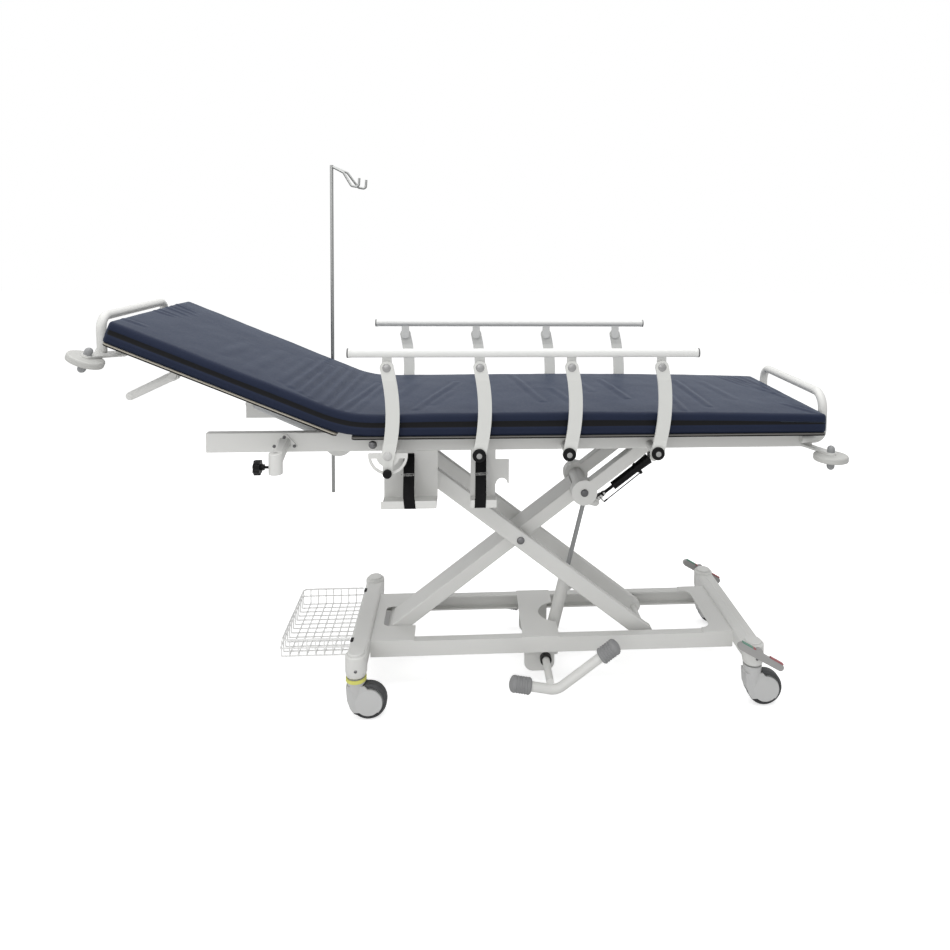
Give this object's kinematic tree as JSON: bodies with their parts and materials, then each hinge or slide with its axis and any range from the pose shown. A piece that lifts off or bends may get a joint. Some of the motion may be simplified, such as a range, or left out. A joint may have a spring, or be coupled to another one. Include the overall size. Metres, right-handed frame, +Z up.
{
  "type": "patient transport stretcher",
  "caption": "Height-adjustable hospital transport stretcher with scissor lift, foot pump, raised backrest, folding side rails, swivel casters, basket and infusion pole.",
  "frame": {"origin": "on the floor under the centre of the overall bounding box", "axes": "+X towards the foot end, +Y towards the far side rail, +Z up"},
  "size_m": [2.066, 0.662, 1.562],
  "materials": {
    "frame_paint": "semi-gloss off-white powder coat",
    "rail_paint": "semi-gloss off-white",
    "dark_rubber": "matte",
    "grey_rubber": "matte",
    "chrome_steel": "polished",
    "silver_steel": "satin",
    "dark_steel": "black oxide",
    "black_steel": "semi-gloss black",
    "yellow_plastic": "matte",
    "green_plastic": "matte green and red pads",
    "black_board": "matte black laminate",
    "navy_vinyl": "coated navy vinyl with a soft sheen",
    "black_webbing": "woven webbing",
    "black_plastic": "matte",
    "grey_plastic": "satin grey",
    "wheel_tyre": "grey non-marking rubber",
    "bumper_plastic": "satin light grey"
  },
  "bodies": {
    "base": {"base_rails": "frame_paint", "head_cross_member": "frame_paint", "foot_cross_member": "frame_paint", "base_cover_plates": "frame_paint", "pump_housing": "frame_paint", "wire_basket": "frame_paint"},
    "brake": {"brake_levers": "grey_plastic", "brake_pads": "green_plastic"},
    "pedal": {"pump_pedal": "frame_paint", "pump_pedal_pads": "grey_rubber"},
    "inner_arm": {"inner_arm": "frame_paint", "crossing_shaft": "dark_steel"},
    "outer_arms": {"outer_arms": "frame_paint"},
    "upper_arms": {"upper_arms": "frame_paint", "tilt_spring_body": "black_steel"},
    "tilt_spring_rod": {"tilt_spring_rod": "chrome_steel"},
    "ram_cylinder": {"ram_cylinder": "frame_paint"},
    "ram_rod": {"ram_rod": "chrome_steel"},
    "deck_shaft": {"deck_pivot_shaft": "dark_steel"},
    "deck": {"deck_frame": "frame_paint", "seat_board": "black_board", "seat_mattress": "navy_vinyl", "bottle_holders": "frame_paint", "holder_straps": "black_webbing", "iv_sockets": "frame_paint", "pivot_discs": "dark_rubber"},
    "backrest": {"backrest_frame": "frame_paint", "backrest_board": "black_board", "back_mattress": "navy_vinyl"},
    "release_bar": {"release_bar": "frame_paint"},
    "back_strut_body": {"back_strut_body": "silver_steel"},
    "back_strut_rod": {"back_strut_rod": "chrome_steel"},
    "iv_pole": {"iv_pole": "chrome_steel"},
    "iv_knob_near": {"iv_knob_near": "black_plastic"},
    "iv_knob_far": {"iv_knob_far": "black_plastic"},
    "caster_head_near": {"caster_fork_head_near": "grey_plastic", "caster_ring": "yellow_plastic"},
    "wheel_head_near": {"caster_wheel_head_near": "wheel_tyre"},
    "caster_head_far": {"caster_fork_head_far": "grey_plastic"},
    "wheel_head_far": {"caster_wheel_head_far": "wheel_tyre"},
    "caster_foot_near": {"caster_fork_foot_near": "grey_plastic"},
    "wheel_foot_near": {"caster_wheel_foot_near": "wheel_tyre"},
    "caster_foot_far": {"caster_fork_foot_far": "grey_plastic"},
    "wheel_foot_far": {"caster_wheel_foot_far": "wheel_tyre"},
    "rail_bar_near": {"rail_bar_near": "rail_paint"},
    "rail_post_near_1": {"rail_post_near_1": "frame_paint"},
    "rail_post_near_2": {"rail_post_near_2": "frame_paint"},
    "rail_post_near_3": {"rail_post_near_3": "frame_paint"},
    "rail_post_near_4": {"rail_post_near_4": "frame_paint"},
    "rail_plunger_near": {"rail_plunger_near": "black_plastic"},
    "rail_bar_far": {"rail_bar_far": "rail_paint"},
    "rail_post_far_1": {"rail_post_far_1": "frame_paint"},
    "rail_post_far_2": {"rail_post_far_2": "frame_paint"},
    "rail_post_far_3": {"rail_post_far_3": "frame_paint"},
    "rail_post_far_4": {"rail_post_far_4": "frame_paint"},
    "rail_plunger_far": {"rail_plunger_far": "black_plastic"},
    "bumper_foot_near": {"bumper_foot_near": "bumper_plastic"},
    "bumper_head_near": {"bumper_head_near": "bumper_plastic"},
    "bumper_foot_far": {"bumper_foot_far": "bumper_plastic"},
    "bumper_head_far": {"bumper_head_far": "bumper_plastic"}
  },
  "joints": [
    {"name": "swivel_head_near", "type": "hinge", "parent": "base", "child": "caster_head_near", "pos_m": [-0.318, -0.228, 0.14], "axis": [0, 0, 1], "continuous": true},
    {"name": "roll_head_near", "type": "hinge", "parent": "caster_head_near", "child": "wheel_head_near", "pos_m": [-0.283, -0.228, 0.05], "axis": [0, 1, 0], "continuous": true},
    {"name": "swivel_head_far", "type": "hinge", "parent": "base", "child": "caster_head_far", "pos_m": [-0.318, 0.228, 0.14], "axis": [0, 0, 1], "continuous": true},
    {"name": "roll_head_far", "type": "hinge", "parent": "caster_head_far", "child": "wheel_head_far", "pos_m": [-0.283, 0.228, 0.05], "axis": [0, 1, 0], "continuous": true},
    {"name": "swivel_foot_near", "type": "hinge", "parent": "base", "child": "caster_foot_near", "pos_m": [0.806, -0.228, 0.14], "axis": [0, 0, 1], "continuous": true},
    {"name": "roll_foot_near", "type": "hinge", "parent": "caster_foot_near", "child": "wheel_foot_near", "pos_m": [0.841, -0.228, 0.05], "axis": [0, 1, 0], "continuous": true},
    {"name": "swivel_foot_far", "type": "hinge", "parent": "base", "child": "caster_foot_far", "pos_m": [0.806, 0.228, 0.14], "axis": [0, 0, 1], "continuous": true},
    {"name": "roll_foot_far", "type": "hinge", "parent": "caster_foot_far", "child": "wheel_foot_far", "pos_m": [0.841, 0.228, 0.05], "axis": [0, 1, 0], "continuous": true},
    {"name": "brake", "type": "hinge", "parent": "base", "child": "brake", "pos_m": [0.806, 0, 0.171], "axis": [0, 1, 0], "range_deg": [-15, 15]},
    {"name": "pump_pedal", "type": "hinge", "parent": "base", "child": "pedal", "pos_m": [0.221, 0, 0.086], "axis": [0, 1, 0], "range_deg": [0, 20], "stiffness_Nm_per_rad": 60, "springref_deg": -11.46},
    {"name": "lift", "type": "hinge", "parent": "base", "child": "inner_arm", "pos_m": [-0.235, 0, 0.1425], "axis": [0, -1, 0], "range_deg": [-16, 2]},
    {"name": "scissor_crossing", "type": "hinge", "parent": "inner_arm", "child": "outer_arms", "pos_m": [0.14479, 0, 0.43603], "axis": [0, -1, 0], "range_deg": [-4.5, 32.5]},
    {"name": "deck_carrier", "type": "hinge", "parent": "outer_arms", "child": "deck_shaft", "pos_m": [-0.27456, 0, 0.76014], "axis": [0, -1, 0], "range_deg": [-16.5, 2.5]},
    {"name": "ram_base", "type": "hinge", "parent": "base", "child": "ram_cylinder", "pos_m": [0.245, 0, 0.08], "axis": [0, -1, 0], "range_deg": [-21, 3]},
    {"name": "ram_top", "type": "hinge", "parent": "inner_arm", "child": "ram_rod", "pos_m": [0.35002, 0, 0.532], "axis": [0, -1, 0], "range_deg": [-5, 1]},
    {"name": "deck_tilt", "type": "hinge", "parent": "deck_shaft", "child": "deck", "pos_m": [-0.27456, 0, 0.76014], "axis": [0, -1, 0], "range_deg": [-5, 5]},
    {"name": "upper_arm_pivot", "type": "hinge", "parent": "inner_arm", "child": "upper_arms", "pos_m": [0.33152, 0, 0.58035], "axis": [0, -1, 0], "range_deg": [-18.5, 18.5]},
    {"name": "tilt_spring_pivot", "type": "hinge", "parent": "inner_arm", "child": "tilt_spring_rod", "pos_m": [0.38002, 0, 0.521], "axis": [0, -1, 0], "range_deg": [-18.5, 18.5]},
    {"name": "backrest", "type": "hinge", "parent": "deck", "child": "backrest", "pos_m": [-0.338, 0, 0.799], "axis": [0, 1, 0], "range_deg": [-22.45, 37.5]},
    {"name": "strut_low", "type": "hinge", "parent": "deck", "child": "back_strut_rod", "pos_m": [-0.378, 0, 0.752], "axis": [0, 1, 0], "range_deg": [-23.6, 39]},
    {"name": "strut_high", "type": "hinge", "parent": "backrest", "child": "back_strut_body", "pos_m": [-0.61998, 0, 0.86298], "axis": [0, 1, 0], "range_deg": [-1, 1.5]},
    {"name": "release", "type": "hinge", "parent": "backrest", "child": "release_bar", "pos_m": [-0.81907, 0, 0.94415], "axis": [0, 1, 0], "range_deg": [0, 10], "stiffness_Nm_per_rad": 3, "springref_deg": -34.38},
    {"name": "side_rail_near", "type": "hinge", "parent": "deck", "child": "rail_post_near_1", "pos_m": [-0.225, -0.292, 0.755], "axis": [0, 1, 0], "range_deg": [0, 85]},
    {"name": "rail_post_near_2", "type": "hinge", "parent": "deck", "child": "rail_post_near_2", "pos_m": [0.016, -0.292, 0.755], "axis": [0, 1, 0], "range_deg": [-1, 86]},
    {"name": "rail_post_near_3", "type": "hinge", "parent": "deck", "child": "rail_post_near_3", "pos_m": [0.257, -0.292, 0.755], "axis": [0, 1, 0], "range_deg": [-1, 86]},
    {"name": "rail_post_near_4", "type": "hinge", "parent": "deck", "child": "rail_post_near_4", "pos_m": [0.498, -0.292, 0.755], "axis": [0, 1, 0], "range_deg": [-1, 86]},
    {"name": "rail_bar_near", "type": "hinge", "parent": "rail_post_near_1", "child": "rail_bar_near", "pos_m": [-0.225, -0.317, 0.994], "axis": [0, 1, 0], "range_deg": [-86, 1]},
    {"name": "rail_plunger_near", "type": "slide", "parent": "rail_post_near_1", "child": "rail_plunger_near", "axis": [0, -1, 0], "range_m": [0, 0.008], "stiffness_N_per_m": 900, "springref_m": -0.004},
    {"name": "side_rail_far", "type": "hinge", "parent": "deck", "child": "rail_post_far_1", "pos_m": [-0.225, 0.292, 0.755], "axis": [0, 1, 0], "range_deg": [0, 85]},
    {"name": "rail_post_far_2", "type": "hinge", "parent": "deck", "child": "rail_post_far_2", "pos_m": [0.016, 0.292, 0.755], "axis": [0, 1, 0], "range_deg": [-1, 86]},
    {"name": "rail_post_far_3", "type": "hinge", "parent": "deck", "child": "rail_post_far_3", "pos_m": [0.257, 0.292, 0.755], "axis": [0, 1, 0], "range_deg": [-1, 86]},
    {"name": "rail_post_far_4", "type": "hinge", "parent": "deck", "child": "rail_post_far_4", "pos_m": [0.498, 0.292, 0.755], "axis": [0, 1, 0], "range_deg": [-1, 86]},
    {"name": "rail_bar_far", "type": "hinge", "parent": "rail_post_far_1", "child": "rail_bar_far", "pos_m": [-0.225, 0.317, 0.994], "axis": [0, 1, 0], "range_deg": [-86, 1]},
    {"name": "rail_plunger_far", "type": "slide", "parent": "rail_post_far_1", "child": "rail_plunger_far", "axis": [0, 1, 0], "range_m": [0, 0.008], "stiffness_N_per_m": 900, "springref_m": -0.004},
    {"name": "iv_pole", "type": "slide", "parent": "deck", "child": "iv_pole", "axis": [0, 0, 1], "range_m": [-0.25, 0.25]},
    {"name": "iv_clamp_near", "type": "hinge", "parent": "deck", "child": "iv_knob_near", "pos_m": [-0.558, -0.302, 0.732], "axis": [1, 0, 0], "continuous": true},
    {"name": "iv_clamp_far", "type": "hinge", "parent": "deck", "child": "iv_knob_far", "pos_m": [-0.514, 0.302, 0.732], "axis": [1, 0, 0], "continuous": true},
    {"name": "bumper_foot_near", "type": "hinge", "parent": "deck", "child": "bumper_foot_near", "pos_m": [0.987, -0.285, 0.735], "axis": [0, 0, 1], "continuous": true},
    {"name": "bumper_head_near", "type": "hinge", "parent": "backrest", "child": "bumper_head_near", "pos_m": [-0.98878, -0.285, 1.01098], "axis": [0.3827, 0, 0.9239], "continuous": true},
    {"name": "bumper_foot_far", "type": "hinge", "parent": "deck", "child": "bumper_foot_far", "pos_m": [0.987, 0.285, 0.735], "axis": [0, 0, 1], "continuous": true},
    {"name": "bumper_head_far", "type": "hinge", "parent": "backrest", "child": "bumper_head_far", "pos_m": [-0.98878, 0.285, 1.01098], "axis": [0.3827, 0, 0.9239], "continuous": true}
  ],
  "couplings": [
    {"joint": "scissor_crossing", "follows": "lift", "ratio": -2},
    {"joint": "deck_carrier", "follows": "lift", "ratio": 1},
    {"joint": "ram_base", "follows": "lift", "ratio": 1.2884},
    {"joint": "ram_top", "follows": "lift", "ratio": 0.2884},
    {"joint": "upper_arm_pivot", "follows": "deck_tilt", "ratio": 3.605},
    {"joint": "tilt_spring_pivot", "follows": "deck_tilt", "ratio": 3.605},
    {"joint": "strut_low", "follows": "backrest", "ratio": 1.03},
    {"joint": "strut_high", "follows": "backrest", "ratio": 0.03},
    {"joint": "rail_post_near_2", "follows": "side_rail_near", "ratio": 1},
    {"joint": "rail_post_near_3", "follows": "side_rail_near", "ratio": 1},
    {"joint": "rail_post_near_4", "follows": "side_rail_near", "ratio": 1},
    {"joint": "rail_bar_near", "follows": "side_rail_near", "ratio": -1},
    {"joint": "rail_post_far_2", "follows": "side_rail_far", "ratio": 1},
    {"joint": "rail_post_far_3", "follows": "side_rail_far", "ratio": 1},
    {"joint": "rail_post_far_4", "follows": "side_rail_far", "ratio": 1},
    {"joint": "rail_bar_far", "follows": "side_rail_far", "ratio": -1}
  ]
}
